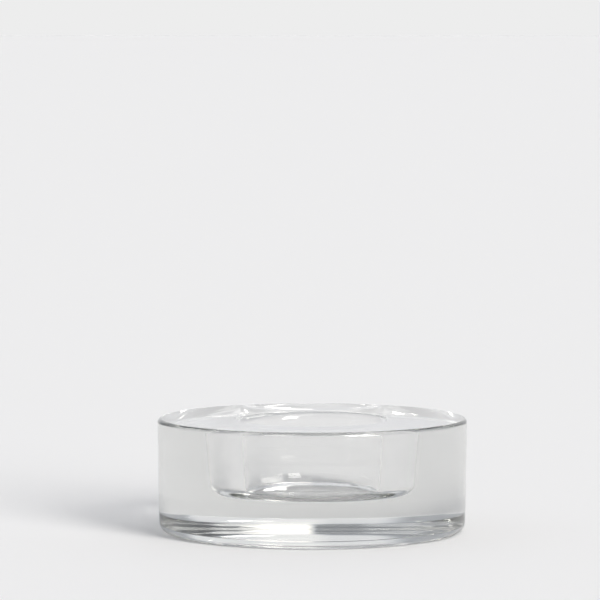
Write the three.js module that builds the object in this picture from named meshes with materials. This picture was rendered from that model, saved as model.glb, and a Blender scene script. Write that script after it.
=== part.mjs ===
// A heavy clear glass candle holder: a short round block with a tapered well for one tealight.
// Millimetres, +Z up, origin at the centre of the base, the block's axis along Z.

import * as THREE from "three";

// Driving dimensions of the block
const OUTER_DIAMETER = 95;       // across the top, its widest place
const HEIGHT = 35;               // base to the top's outer edge, before that edge is rounded
const OUTER_DRAFT_DEG = 0.67;    // lean of the outer wall, so that the block leaves its mould
const TOP_FALL = 0.5;            // how far the top sinks from its outer edge to the well's mouth
const TOP_EDGE_RADIUS = 1.3;     // fire-polished edge round the top
const BASE_EDGE_RADIUS = 3.0;    // softer edge round the base
const FOOT_HEIGHT = 5.6;         // where the wall starts to turn in towards the base
const FOOT_TAPER_DEG = 3.7;      // how much more the wall leans below that
const FOOT_STRAIGHT = 0.1;       // straight stretch between the turn's soft curve and the base edge

// Driving dimensions of the well, which is sized by the candle that it takes
const TEALIGHT_DIAMETER = 38.5;  // metal cup of a standard tealight
const TEALIGHT_CLEARANCE = 1.2;  // all round the cup, at the well's floor
const WELL_DEPTH = 22.8;         // from the top of the block to the well's floor
const WELL_DRAFT_DEG = 3.5;      // lean of the well's wall, wider at the mouth
const MOUTH_EDGE_RADIUS = 2.2;   // rounding at the mouth
const FLOOR_FILLET_RADIUS = 3.5; // rounding between the well's wall and its floor

// Fineness of the faceted surface
const SIDES = 72;
const EDGE_STEPS = 5;

// Clear glass with a faint grey-green cast
const clearGlass = new THREE.MeshStandardMaterial({
  name: "clear_glass",
  color: 0xdfe6e2,
  roughness: 0.03,
  metalness: 0,
  transparent: true,
  opacity: 0.35,
});

// A corner of the section: its sharp point, as distance from the axis and height, and its rounding.
function corner(radius, height, rounding = 0) {
  return { point: new THREE.Vector2(radius, height), rounding };
}

// How far a rounding reaches along each side of a corner whose sides meet at an angle.
function reach(rounding, angle) {
  return rounding / Math.tan(angle / 2);
}

// The points of an arc that rounds one corner, from the side of the corner before it to the next one.
function roundedCorner(before, { point, rounding }, after) {
  if (rounding === 0) {
    return [point];
  }
  const back = before.point.clone().sub(point).normalize();
  const onward = after.point.clone().sub(point).normalize();
  const angle = Math.acos(back.dot(onward));
  const bisector = back.clone().add(onward).normalize();
  const centre = point.clone().addScaledVector(bisector, rounding / Math.sin(angle / 2));
  const tangentLength = reach(rounding, angle);
  const start = point.clone().addScaledVector(back, tangentLength).sub(centre);
  const end = point.clone().addScaledVector(onward, tangentLength).sub(centre);
  const turn = Math.atan2(start.cross(end), start.dot(end));
  const points = [];
  for (let step = 0; step <= EDGE_STEPS; step += 1) {
    const radial = start.clone().rotateAround(new THREE.Vector2(), (turn * step) / EDGE_STEPS);
    points.push(radial.add(centre));
  }
  return points;
}

// The half section of the block, from the middle of the base, out, up, over and down to the well's floor.
function blockSection() {
  const topRadius = OUTER_DIAMETER / 2;
  const draft = THREE.MathUtils.degToRad(OUTER_DRAFT_DEG);
  const taper = THREE.MathUtils.degToRad(FOOT_TAPER_DEG);
  const footRadius = topRadius - (HEIGHT - FOOT_HEIGHT) * Math.tan(draft);
  const baseRadius = footRadius - FOOT_HEIGHT * Math.tan(draft + taper);
  const footLength = FOOT_HEIGHT / Math.cos(draft + taper);
  const baseEdgeReach = reach(BASE_EDGE_RADIUS, Math.PI / 2 + draft + taper);
  const footCurveRadius = (footLength - baseEdgeReach - FOOT_STRAIGHT) / reach(1, Math.PI - taper);
  const mouthHeight = HEIGHT - TOP_FALL;
  const floorHeight = HEIGHT - WELL_DEPTH;
  const floorRadius = TEALIGHT_DIAMETER / 2 + TEALIGHT_CLEARANCE;
  const wallLean = (mouthHeight - floorHeight) * Math.tan(THREE.MathUtils.degToRad(WELL_DRAFT_DEG));
  const corners = [
    corner(0, 0),
    corner(baseRadius, 0, BASE_EDGE_RADIUS),
    corner(footRadius, FOOT_HEIGHT, footCurveRadius),
    corner(topRadius, HEIGHT, TOP_EDGE_RADIUS),
    corner(floorRadius + wallLean, mouthHeight, MOUTH_EDGE_RADIUS),
    corner(floorRadius, floorHeight, FLOOR_FILLET_RADIUS),
    corner(0, floorHeight),
  ];
  return corners.flatMap((each, i) => roundedCorner(corners[i - 1], each, corners[i + 1]));
}

// A solid of revolution about Z from a half section.
function turned(section) {
  const geometry = new THREE.LatheGeometry(section, SIDES);
  geometry.rotateX(Math.PI / 2);
  return geometry;
}

const glassBody = new THREE.Mesh(turned(blockSection()), clearGlass);
glassBody.name = "glass_body";

const candleHolder = new THREE.Group();
candleHolder.name = "candle_holder";
candleHolder.add(glassBody);

export default candleHolder;
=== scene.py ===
"""A heavy clear glass candle holder with a tealight well, dressed in glass and set in a plain studio."""

import math
from typing import NamedTuple

import bmesh
import bpy
from mathutils import Matrix, Vector


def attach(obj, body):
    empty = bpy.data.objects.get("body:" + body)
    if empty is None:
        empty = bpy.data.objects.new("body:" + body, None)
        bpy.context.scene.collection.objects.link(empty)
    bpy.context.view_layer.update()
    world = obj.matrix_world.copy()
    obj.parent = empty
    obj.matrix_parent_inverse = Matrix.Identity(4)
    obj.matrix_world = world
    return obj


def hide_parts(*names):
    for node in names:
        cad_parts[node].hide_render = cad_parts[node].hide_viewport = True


bl_info = {
    "name": "Glass Candle Holder",
    "version": (1, 0, 0),
    "blender": (4, 5, 0),
    "location": "View3D > Sidebar > Candle Holder",
    "description": "Models a round glass tealight holder and the studio that shows it",
    "category": "Object",
}

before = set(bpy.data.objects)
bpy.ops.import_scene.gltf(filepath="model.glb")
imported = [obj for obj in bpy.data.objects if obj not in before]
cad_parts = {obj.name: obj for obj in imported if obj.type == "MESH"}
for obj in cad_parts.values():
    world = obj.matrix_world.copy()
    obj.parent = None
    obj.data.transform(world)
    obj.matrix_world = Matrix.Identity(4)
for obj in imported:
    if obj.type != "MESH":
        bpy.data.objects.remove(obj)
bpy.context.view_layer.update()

GLASS_NODE = "glass_body"
ROOT_BODY = "root"
MM = 0.001


def linear(hex_colour):
    """Turns an sRGB hex colour into linear RGBA."""
    channels = [int(hex_colour[i:i + 2], 16) / 255 for i in (1, 3, 5)]
    return [c / 12.92 if c <= 0.04045 else ((c + 0.055) / 1.055) ** 2.4 for c in channels] + [1.0]


# Sizes and colours

class HolderSizes(bpy.types.PropertyGroup):
    """Sizes of the glass block and of its well."""

    outer_diameter: bpy.props.FloatProperty(
        name="Outer diameter",
        description="Across the top, the widest place of the block, before its edge is rounded",
        default=95 * MM,
        unit="LENGTH",
    )
    height: bpy.props.FloatProperty(
        name="Height",
        description="From the base to the outer edge of the top, before it is rounded",
        default=35 * MM,
        unit="LENGTH",
    )
    outer_draft: bpy.props.FloatProperty(
        name="Outer draft",
        description="Lean of the outer wall, wider at the top",
        default=math.radians(0.67),
        unit="ROTATION",
    )
    top_fall: bpy.props.FloatProperty(
        name="Top fall",
        description="How far the top sinks from its outer edge to the mouth",
        default=0.5 * MM,
        unit="LENGTH",
    )
    floor_diameter: bpy.props.FloatProperty(
        name="Well floor diameter",
        description="Across the floor of the well, before its fillet",
        default=40.9 * MM,
        unit="LENGTH",
    )
    well_depth: bpy.props.FloatProperty(
        name="Well depth",
        description="From the top of the block to the floor of the well",
        default=22.8 * MM,
        unit="LENGTH",
    )
    well_draft: bpy.props.FloatProperty(
        name="Well draft",
        description="Lean of the wall of the well, wider at the mouth",
        default=math.radians(3.5),
        unit="ROTATION",
    )
    base_rounding: bpy.props.FloatProperty(
        name="Base edge radius",
        description="Rounding of the edge round the base",
        default=3.0 * MM,
        unit="LENGTH",
    )
    foot_height: bpy.props.FloatProperty(
        name="Foot height",
        description="Where the outer wall starts to turn in towards the base",
        default=5.6 * MM,
        unit="LENGTH",
    )
    foot_taper: bpy.props.FloatProperty(
        name="Foot taper",
        description="How much more the outer wall leans below the foot height",
        default=math.radians(3.7),
        unit="ROTATION",
    )
    top_rounding: bpy.props.FloatProperty(
        name="Top edge radius",
        description="Rounding of the outer edge of the top",
        default=1.3 * MM,
        unit="LENGTH",
    )
    mouth_rounding: bpy.props.FloatProperty(
        name="Mouth edge radius",
        description="Rounding of the mouth of the well",
        default=2.2 * MM,
        unit="LENGTH",
    )
    floor_fillet: bpy.props.FloatProperty(
        name="Floor fillet",
        description="Rounding between the wall and the floor of the well",
        default=3.5 * MM,
        unit="LENGTH",
    )
    ripple_depth: bpy.props.FloatProperty(
        name="Ripple depth",
        description="How deep the fire-polished surface dips below its true form",
        default=0.03 * MM,
        unit="LENGTH",
    )
    ripple_width: bpy.props.FloatProperty(
        name="Ripple width",
        description="From one dip of the surface to the next",
        default=16 * MM,
        unit="LENGTH",
    )


class GlassLook(bpy.types.PropertyGroup):
    """Colour and finish of the glass."""

    surface: bpy.props.FloatVectorProperty(
        name="Surface",
        description="Colour that the polished surface lets through",
        default=linear("#FFFFFF"),
        size=4,
        subtype="COLOR",
    )
    tint: bpy.props.FloatVectorProperty(
        name="Tint",
        description="Colour that light takes on along its way through the glass",
        default=linear("#C2C4BF"),
        size=4,
        subtype="COLOR",
    )
    tint_density: bpy.props.FloatProperty(
        name="Tint density",
        description="How fast light takes on the tint, per metre of glass",
        default=6.6,
    )
    refraction: bpy.props.FloatProperty(
        name="Refractive index",
        description="Of soda-lime glass",
        default=1.52,
    )
    stria_length: bpy.props.FloatProperty(
        name="Stria length",
        description="Length of the level streaks that the plunger leaves in the well",
        default=14 * MM,
        unit="LENGTH",
    )
    stria_width: bpy.props.FloatProperty(
        name="Stria width",
        description="From one streak to the next up the wall of the well",
        default=1.2 * MM,
        unit="LENGTH",
    )
    stria_height: bpy.props.FloatProperty(
        name="Stria height",
        description="How far the streaks stand up",
        default=0.02 * MM,
        unit="LENGTH",
    )


class StudioLook(bpy.types.PropertyGroup):
    """Colours and levels of the studio."""

    paper: bpy.props.FloatVectorProperty(
        name="Paper",
        description="Colour of the sheet that the holder stands on",
        default=linear("#EDEDED"),
        size=4,
        subtype="COLOR",
    )
    dim: bpy.props.FloatVectorProperty(
        name="Dim parts",
        description="Tone of the dim parts of the room, which are cooler than its lamps",
        default=linear("#F3F7FF"),
        size=4,
        subtype="COLOR",
    )
    bright: bpy.props.FloatVectorProperty(
        name="Bright parts",
        description="Tone of the lamps and lit walls",
        default=linear("#FFFCF8"),
        size=4,
        subtype="COLOR",
    )
    front_level: bpy.props.FloatProperty(
        name="Front of the room",
        description="Brightness of the room behind the camera, where no panel hangs",
        default=0.33,
    )
    back_level: bpy.props.FloatProperty(
        name="Back of the room",
        description="Brightness of the rest of the room, where no panel hangs",
        default=0.44,
    )
    light_level: bpy.props.FloatProperty(
        name="Light level",
        description="Strength of the whole studio",
        default=1.15,
    )


class CameraView(bpy.types.PropertyGroup):
    """Place and aim of the camera."""

    distance: bpy.props.FloatProperty(
        name="Distance",
        description="From the camera to the middle of the holder",
        default=1267 * MM,
        unit="LENGTH",
    )
    elevation: bpy.props.FloatProperty(
        name="Elevation",
        description="How steeply the camera looks down on the middle of the holder",
        default=math.radians(6.374),
        unit="ROTATION",
    )
    tilt: bpy.props.FloatProperty(
        name="Tilt",
        description="How far the camera is then tipped up, which sets the holder low in the picture",
        default=math.radians(2.4172),
        unit="ROTATION",
    )
    pan: bpy.props.FloatProperty(
        name="Pan",
        description="How far the camera is turned left, which sets the holder right of the middle",
        default=math.radians(0.1703),
        unit="ROTATION",
    )
    lens: bpy.props.FloatProperty(
        name="Focal length",
        description="Of the lens, on a sensor 36 mm wide",
        default=247.32,
        unit="CAMERA",
    )


# Where each group of properties is kept on the scene
GROUPS = {
    "holder_sizes": HolderSizes,
    "holder_glass": GlassLook,
    "holder_studio": StudioLook,
    "holder_camera": CameraView,
}


def add_node(tree, kind, settings=None, inputs=None):
    """Adds a node, sets its properties, and sets or links its inputs by name or index."""
    node = tree.nodes.new(kind)
    for name, value in (settings or {}).items():
        setattr(node, name, value)
    for name, value in (inputs or {}).items():
        if isinstance(value, bpy.types.NodeSocket):
            tree.links.new(value, node.inputs[name])
        else:
            node.inputs[name].default_value = value
    return node


# Glass

# Distances from the axis, on the rounding of the mouth, at which the well's streaks end and are in full
STREAKS_END = 23.5 * MM
STREAKS_FULL = 23.0 * MM


def clear_glass(look):
    """Clear pressed glass: bright and colourless where thin, faintly grey-green along the thick block.

    Faint level streaks in the well catch the light, as the plunger that pressed it leaves them.
    """
    material = bpy.data.materials.new("clear_pressed_glass")
    material.use_nodes = True
    tree = material.node_tree
    tree.nodes.clear()
    place = add_node(tree, "ShaderNodeTexCoord").outputs["Object"]
    stretched = add_node(tree, "ShaderNodeVectorMath", {"operation": "DIVIDE"}, {
        0: place,
        1: (look.stria_length, look.stria_length, look.stria_width),
    })
    streaks = add_node(tree, "ShaderNodeTexNoise", inputs={
        "Vector": stretched.outputs["Vector"],
        "Scale": 1.0,
        "Detail": 1.0,
    })
    level = add_node(tree, "ShaderNodeVectorMath", {"operation": "MULTIPLY"}, {0: place, 1: (1, 1, 0)})
    radius = add_node(tree, "ShaderNodeVectorMath", {"operation": "LENGTH"}, {0: level.outputs["Vector"]})
    in_well = add_node(tree, "ShaderNodeMapRange", inputs={
        "Value": radius.outputs["Value"],
        "From Min": STREAKS_END,
        "From Max": STREAKS_FULL,
    })
    skin = add_node(tree, "ShaderNodeBump", inputs={
        "Strength": in_well.outputs["Result"],
        "Distance": look.stria_height,
        "Height": streaks.outputs["Fac"],
    })
    shader = add_node(tree, "ShaderNodeBsdfPrincipled", inputs={
        "Base Color": look.surface,
        "Roughness": 0.0,
        "IOR": look.refraction,
        "Transmission Weight": 1.0,
        "Normal": skin.outputs["Normal"],
    })
    absorb = add_node(tree, "ShaderNodeVolumeAbsorption", inputs={
        "Color": look.tint,
        "Density": look.tint_density,
    })
    add_node(tree, "ShaderNodeOutputMaterial", inputs={
        "Surface": shader.outputs["BSDF"],
        "Volume": absorb.outputs["Volume"],
    })
    return material


FOOT_STRAIGHT = 0.1 * MM  # straight stretch between the foot's soft curve and the base edge


def section_corners(sizes):
    """The half section's sharp corners and their roundings, from the base's middle to the floor's middle."""
    top_radius = sizes.outer_diameter / 2
    foot_lean = sizes.outer_draft + sizes.foot_taper
    foot_radius = top_radius - (sizes.height - sizes.foot_height) * math.tan(sizes.outer_draft)
    base_radius = foot_radius - sizes.foot_height * math.tan(foot_lean)
    base_reach = sizes.base_rounding / math.tan((math.pi / 2 + foot_lean) / 2)
    foot_reach = sizes.foot_height / math.cos(foot_lean) - base_reach - FOOT_STRAIGHT
    foot_rounding = foot_reach / math.tan(sizes.foot_taper / 2)
    mouth_height = sizes.height - sizes.top_fall
    floor_height = sizes.height - sizes.well_depth
    floor_radius = sizes.floor_diameter / 2
    mouth_radius = floor_radius + (mouth_height - floor_height) * math.tan(sizes.well_draft)
    return [
        (Vector((0, 0, 0)), 0),
        (Vector((base_radius, 0, 0)), sizes.base_rounding),
        (Vector((foot_radius, 0, sizes.foot_height)), foot_rounding),
        (Vector((top_radius, 0, sizes.height)), sizes.top_rounding),
        (Vector((mouth_radius, 0, mouth_height)), sizes.mouth_rounding),
        (Vector((floor_radius, 0, floor_height)), sizes.floor_fillet),
        (Vector((0, 0, floor_height)), 0),
    ]


def select_vertices(mesh_object, test):
    """Selects the vertices whose place passes the test."""
    mesh = bmesh.from_edit_mesh(mesh_object.data)
    mesh.select_mode = {"VERT"}
    for vertex in mesh.verts:
        vertex.select = test(vertex.co)
    mesh.select_flush_mode()
    bmesh.update_edit_mesh(mesh_object.data)


def select_edges(mesh_object, test):
    """Selects the edges that pass the test."""
    mesh = bmesh.from_edit_mesh(mesh_object.data)
    mesh.select_mode = {"EDGE"}
    for edge in mesh.edges:
        edge.select_set(test(edge))
    bmesh.update_edit_mesh(mesh_object.data)


def ripple_surface(piece, sizes):
    """Dips the surface gently here and there, as a fire-polished skin does."""
    ripple = bpy.data.textures.new("fire_polish", "CLOUDS")
    ripple.noise_scale = sizes.ripple_width
    ripple.noise_depth = 0
    bpy.ops.object.modifier_add(type="DISPLACE")
    displace = piece.modifiers[-1]
    displace.texture = ripple
    displace.texture_coords = "LOCAL"
    displace.mid_level = 1.0  # white stays in place, so that nothing stands out past the true form
    displace.strength = sizes.ripple_depth
    bpy.ops.object.modifier_apply(modifier=displace.name)


STARTER_WIDTH = 1 * MM          # of the plane that is merged into the first point of the section
FACET_TURN = math.radians(1.5)  # from one facet of a rounding to the next
FEWEST_FACETS = 12              # of a rounding, however slight its turn
ROUND_PROFILE = 0.5             # makes a bevel an arc
LONG_EDGE = 5 * MM              # a longer edge of the section is cut up, so that it can take the ripple
LONG_EDGE_CUTS = 9
SPIN_STEPS = 256
NEAR = 0.01 * MM                # points closer than this are one


class HOLDER_OT_glass_body(bpy.types.Operator):
    """Model the glass block as a section that is filleted and spun about its axis"""

    bl_idname = "holder.glass_body"
    bl_label = "Glass Body"

    def execute(self, context):
        sizes = context.scene.holder_sizes
        corners = section_corners(sizes)
        bpy.ops.object.select_all(action="DESELECT")
        bpy.ops.mesh.primitive_plane_add(size=STARTER_WIDTH)
        piece = context.object
        piece.name = "glass_block"
        bpy.ops.object.mode_set(mode="EDIT")
        bpy.ops.mesh.select_all(action="SELECT")
        bpy.ops.mesh.merge(type="CENTER")
        bpy.ops.mesh.select_mode(type="VERT")
        for (before, _), (after, _) in zip(corners, corners[1:]):
            bpy.ops.mesh.extrude_region_move(TRANSFORM_OT_translate={"value": after - before})
        for (before, _), (point, rounding), (after, _) in zip(corners, corners[1:], corners[2:]):
            half_angle = (before - point).angle(after - point) / 2
            facets = round((math.pi - 2 * half_angle) / FACET_TURN)
            select_vertices(piece, lambda place: (place - point).length < NEAR)
            bpy.ops.mesh.bevel(
                offset_type="OFFSET",
                offset=rounding / math.tan(half_angle),
                segments=max(facets, FEWEST_FACETS),
                profile=ROUND_PROFILE,
                affect="VERTICES",
            )
        select_edges(piece, lambda edge: edge.calc_length() > LONG_EDGE)
        bpy.ops.mesh.subdivide(number_cuts=LONG_EDGE_CUTS)
        bpy.ops.mesh.select_all(action="SELECT")
        bpy.ops.mesh.spin(steps=SPIN_STEPS, angle=math.tau, center=(0, 0, 0), axis=(0, 0, 1))
        bpy.ops.mesh.select_all(action="SELECT")
        bpy.ops.mesh.remove_doubles(threshold=NEAR)
        bpy.ops.mesh.normals_make_consistent(inside=False)
        bpy.ops.object.mode_set(mode="OBJECT")
        bpy.ops.object.shade_smooth()
        ripple_surface(piece, sizes)
        bpy.ops.object.modifier_add(type="WEIGHTED_NORMAL")
        bpy.ops.object.modifier_apply(modifier=piece.modifiers[-1].name)
        piece.data.materials.append(clear_glass(context.scene.holder_glass))
        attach(piece, ROOT_BODY)
        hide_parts(GLASS_NODE)
        return {"FINISHED"}


# Stage

class StudioPanel(NamedTuple):
    """A rectangle of light or of shade that hangs round the holder, as far off as the sky.

    Its middle has an azimuth, from +Y towards +X, and an elevation, both in degrees. Its low and high edges
    across and upward, and the softness of these edges, are tangents of the angle from that middle.
    """

    azimuth: float
    elevation: float
    across: tuple
    upward: tuple
    softness: float
    brightness: float


# Each panel hangs in front of those before it.
STUDIO_PANELS = {
    "overhead softbox": StudioPanel(
        azimuth=0, elevation=90, across=(0.0, 0.6), upward=(0.0, 0.95), softness=0.05, brightness=1.7,
    ),
    "rear strip": StudioPanel(
        azimuth=0, elevation=42, across=(-0.05, 0.25), upward=(-0.1, 0.55), softness=0.05, brightness=0.8,
    ),
    "rear wall": StudioPanel(
        azimuth=5, elevation=2, across=(-0.55, 0.75), upward=(-0.25, 0.55), softness=0.15, brightness=0.87,
    ),
    "rear softbox": StudioPanel(
        azimuth=6, elevation=16, across=(-0.15, 0.15), upward=(-0.2, 0.4), softness=0.05, brightness=1.0,
    ),
    "right fill": StudioPanel(
        azimuth=100, elevation=54, across=(-0.2, 0.1), upward=(-0.1, 0.25), softness=0.05, brightness=1.0,
    ),
    "left fill": StudioPanel(
        azimuth=-100, elevation=54, across=(-0.15, 0.2), upward=(-0.2, 0.25), softness=0.05, brightness=0.7,
    ),
    "key softbox": StudioPanel(
        azimuth=140, elevation=21, across=(-0.2, 0.25), upward=(-0.35, 0.35), softness=0.03, brightness=12.5,
    ),
    "right flag": StudioPanel(
        azimuth=113, elevation=28, across=(-0.25, 0.3), upward=(-0.5, 0.35), softness=0.04, brightness=0.15,
    ),
}
IN_FRONT = 0.001  # a panel shows only in directions with more than this along its middle's direction

# Y of a direction where the front of the room ends, and where its back begins
FRONT_END = -0.3
BACK_START = -0.2

# Brightness at which a part of the room has all of the dim tone, and all of the bright one
DIM_LEVEL = 0.35
BRIGHT_LEVEL = 1.5

# Z of a direction where the room ends, and where the far paper begins
ROOM_END = 0.012
PAPER_START = 0.006

# A mix node's sockets for its kinds of value share their names, so those for colours go by number.
MIX_FACTOR = 0
MIX_FIRST = 6
MIX_SECOND = 7
MIX_RESULT = 2

SMOOTH = {"interpolation_type": "SMOOTHSTEP"}


def lay_panel(tree, direction, light, panel):
    """Hangs a panel in front of the light from each direction, and returns the light with it."""
    turn = (
        Matrix.Rotation(-math.radians(panel.azimuth), 3, "Z")
        @ Matrix.Rotation(math.radians(panel.elevation), 3, "X")
    )
    depth = add_node(tree, "ShaderNodeVectorMath", {"operation": "DOT_PRODUCT"}, {
        0: direction,
        1: turn @ Vector((0, 1, 0)),
    })
    cover = add_node(tree, "ShaderNodeMath", {"operation": "GREATER_THAN"}, {
        0: depth.outputs["Value"],
        1: IN_FRONT,
    }).outputs["Value"]
    for axis, (low, high) in (((1, 0, 0), panel.across), ((0, 0, 1), panel.upward)):
        along = add_node(tree, "ShaderNodeVectorMath", {"operation": "DOT_PRODUCT"}, {
            0: direction,
            1: turn @ Vector(axis),
        })
        place = add_node(tree, "ShaderNodeMath", {"operation": "DIVIDE"}, {
            0: along.outputs["Value"],
            1: depth.outputs["Value"],
        })
        for edge, inward in ((low, panel.softness), (high, -panel.softness)):
            cover = add_node(tree, "ShaderNodeMapRange", SMOOTH, {
                "Value": place.outputs["Value"],
                "From Min": edge - inward,
                "From Max": edge + inward,
                "To Max": cover,
            }).outputs["Result"]
    return add_node(tree, "ShaderNodeMapRange", inputs={
        "Value": cover,
        "To Min": light,
        "To Max": panel.brightness,
    }).outputs["Result"]


def studio_world(scene):
    """A room that is dimmer behind the camera, hung with the panels, over paper to the horizon."""
    look = scene.holder_studio
    world = bpy.data.worlds.new("studio")
    scene.world = world
    world.use_nodes = True
    tree = world.node_tree
    tree.nodes.clear()
    direction = add_node(tree, "ShaderNodeTexCoord").outputs["Generated"]
    split = add_node(tree, "ShaderNodeSeparateXYZ", inputs={"Vector": direction})
    light = add_node(tree, "ShaderNodeMapRange", SMOOTH, {
        "Value": split.outputs["Y"],
        "From Min": FRONT_END,
        "From Max": BACK_START,
        "To Min": look.front_level,
        "To Max": look.back_level,
    }).outputs["Result"]
    for panel in STUDIO_PANELS.values():
        light = lay_panel(tree, direction, light, panel)
    warmth = add_node(tree, "ShaderNodeMapRange", SMOOTH, {
        "Value": light,
        "From Min": DIM_LEVEL,
        "From Max": BRIGHT_LEVEL,
    })
    tone = add_node(tree, "ShaderNodeMix", {"data_type": "RGBA"}, {
        MIX_FACTOR: warmth.outputs["Result"],
        MIX_FIRST: look.dim,
        MIX_SECOND: look.bright,
    })
    strength = add_node(tree, "ShaderNodeMath", {"operation": "MULTIPLY"}, {0: light, 1: look.light_level})
    room = add_node(tree, "ShaderNodeBackground", inputs={
        "Color": tone.outputs[MIX_RESULT],
        "Strength": strength.outputs["Value"],
    })
    far_paper = add_node(tree, "ShaderNodeBackground", inputs={"Color": look.paper})
    below = add_node(tree, "ShaderNodeMapRange", SMOOTH, {
        "Value": split.outputs["Z"],
        "From Min": ROOM_END,
        "From Max": PAPER_START,
    })
    surround = add_node(tree, "ShaderNodeMixShader", inputs={
        "Fac": below.outputs["Result"],
        1: room.outputs["Background"],
        2: far_paper.outputs["Background"],
    })
    add_node(tree, "ShaderNodeOutputWorld", inputs={"Surface": surround.outputs["Shader"]})


SHEET_WIDTH = 60     # metres, so that its far edge lies near the horizon
AIR_GAP = 0.05 * MM  # between the glass and the paper, so that the base mirrors from inside


def paper_sheet(context):
    """A wide sheet of matt paper under the holder, which gives the eye one pale tone with no shine."""
    bpy.ops.object.select_all(action="DESELECT")
    bpy.ops.mesh.primitive_plane_add(size=SHEET_WIDTH, location=(0, 0, -AIR_GAP))
    paper = context.object
    paper.name = "paper_sheet"
    material = bpy.data.materials.new("pale_matt_paper")
    material.use_nodes = True
    tree = material.node_tree
    tree.nodes.clear()
    matt = add_node(tree, "ShaderNodeBsdfDiffuse", inputs={"Color": context.scene.holder_studio.paper})
    add_node(tree, "ShaderNodeOutputMaterial", inputs={"Surface": matt.outputs["BSDF"]})
    paper.data.materials.append(material)


def aim_camera(scene):
    """A long lens in front of the holder, a little above it."""
    view = scene.holder_camera
    data = bpy.data.cameras.new("camera")
    data.lens = view.lens
    camera = bpy.data.objects.new("camera", data)
    scene.collection.objects.link(camera)
    middle = Vector((0, 0, scene.holder_sizes.height / 2))
    away = Vector((0, -math.cos(view.elevation), math.sin(view.elevation)))
    camera.location = middle + view.distance * away
    camera.rotation_euler = (math.pi / 2 - view.elevation + view.tilt, 0, view.pan)
    scene.camera = camera


LIGHT_BOUNCES = 32  # light turns many times in the glass before it leaves


class HOLDER_OT_stage(bpy.types.Operator):
    """Set out the paper, the studio's light and the camera"""

    bl_idname = "holder.stage"
    bl_label = "Stage"

    def execute(self, context):
        scene = context.scene
        paper_sheet(context)
        studio_world(scene)
        aim_camera(scene)
        scene.view_settings.view_transform = "Standard"
        scene.cycles.max_bounces = LIGHT_BOUNCES
        scene.cycles.glossy_bounces = LIGHT_BOUNCES
        scene.cycles.transmission_bounces = LIGHT_BOUNCES
        return {"FINISHED"}


class HOLDER_PT_panel(bpy.types.Panel):
    """Lists the sizes, colours and steps that make the holder."""

    bl_idname = "HOLDER_PT_panel"
    bl_label = "Candle Holder"
    bl_space_type = "VIEW_3D"
    bl_region_type = "UI"
    bl_category = "Candle Holder"

    def draw(self, context):
        for place, group in GROUPS.items():
            for name in group.__annotations__:
                self.layout.prop(getattr(context.scene, place), name)
        self.layout.operator(HOLDER_OT_glass_body.bl_idname)
        self.layout.operator(HOLDER_OT_stage.bl_idname)


CLASSES = (*GROUPS.values(), HOLDER_OT_glass_body, HOLDER_OT_stage, HOLDER_PT_panel)


def register():
    for each in CLASSES:
        bpy.utils.register_class(each)
    for place, group in GROUPS.items():
        setattr(bpy.types.Scene, place, bpy.props.PointerProperty(type=group))


def unregister():
    for place in GROUPS:
        delattr(bpy.types.Scene, place)
    for each in reversed(CLASSES):
        bpy.utils.unregister_class(each)


def main():
    register()
    bpy.ops.holder.glass_body()
    bpy.ops.holder.stage()


if __name__ == "__main__":
    main()
